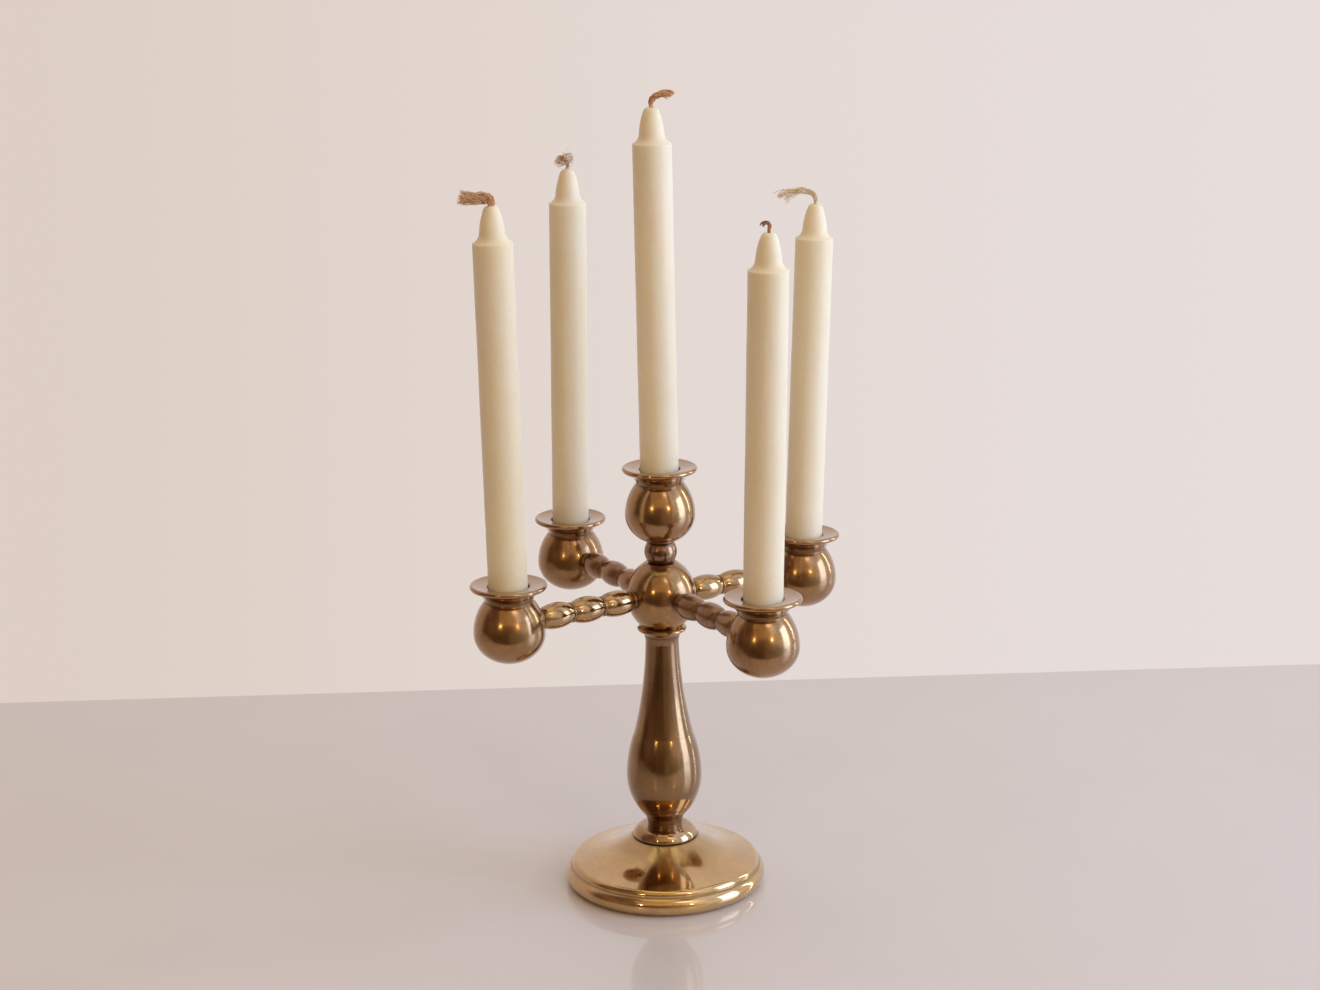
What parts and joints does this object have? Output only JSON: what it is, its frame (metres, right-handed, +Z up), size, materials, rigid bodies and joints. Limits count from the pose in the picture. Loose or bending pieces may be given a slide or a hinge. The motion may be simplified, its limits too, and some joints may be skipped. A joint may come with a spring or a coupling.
{
  "type": "candelabra",
  "caption": "Tabletop candelabra of turned brass: round foot, vase stem, ball hub, beaded arms and ball cups with flared lips, holding ivory candles.",
  "frame": {"origin": "centre of the foot's underside, on the surface it stands on", "axes": "+Z up the stem; +X along arm 1 and +Y along arm 2, arms 3 and 4 along -X and -Y"},
  "size_m": [0.2431, 0.2425, 0.461],
  "materials": {
    "brass": "polished, aged",
    "steel": "plain turned",
    "wax": "smooth ivory wax",
    "cotton": "braided cotton, frayed"
  },
  "bodies": {
    "stand": {"foot": "brass", "foot_ring": "brass", "stem": "brass", "hub_collar": "brass", "hub": "brass", "neck_bead": "brass", "cup_centre": "brass", "arm_1": "brass", "arm_2": "brass", "arm_3": "brass", "arm_4": "brass", "cup_1": "brass", "cup_2": "brass", "cup_3": "brass", "cup_4": "brass", "tie_rod": "steel", "foot_nut": "steel", "foot_washer": "steel", "arm_studs": "steel"},
    "candle_centre_body": {"candle_centre": "wax", "wick_centre": "cotton"},
    "candle_1_body": {"candle_1": "wax", "wick_1": "cotton"},
    "candle_2_body": {"candle_2": "wax", "wick_2": "cotton"},
    "candle_3_body": {"candle_3": "wax", "wick_3": "cotton"},
    "candle_4_body": {"candle_4": "wax", "wick_4": "cotton"}
  },
  "joints": [
    {"name": "candle_centre_lift", "type": "slide", "parent": "stand", "child": "candle_centre_body", "axis": [-0.007, 0.0035, 1], "range_m": [0, 0.04]},
    {"name": "candle_1_lift", "type": "slide", "parent": "stand", "child": "candle_1_body", "axis": [0.0384, -0.007, 0.9992], "range_m": [0, 0.04]},
    {"name": "candle_2_lift", "type": "slide", "parent": "stand", "child": "candle_2_body", "axis": [0.0087, -0.014, 0.9999], "range_m": [0, 0.04]},
    {"name": "candle_3_lift", "type": "slide", "parent": "stand", "child": "candle_3_body", "axis": [-0.0087, 0.0105, 0.9999], "range_m": [0, 0.04]},
    {"name": "candle_4_lift", "type": "slide", "parent": "stand", "child": "candle_4_body", "axis": [0.0175, -0.0087, 0.9998], "range_m": [0, 0.04]}
  ]
}
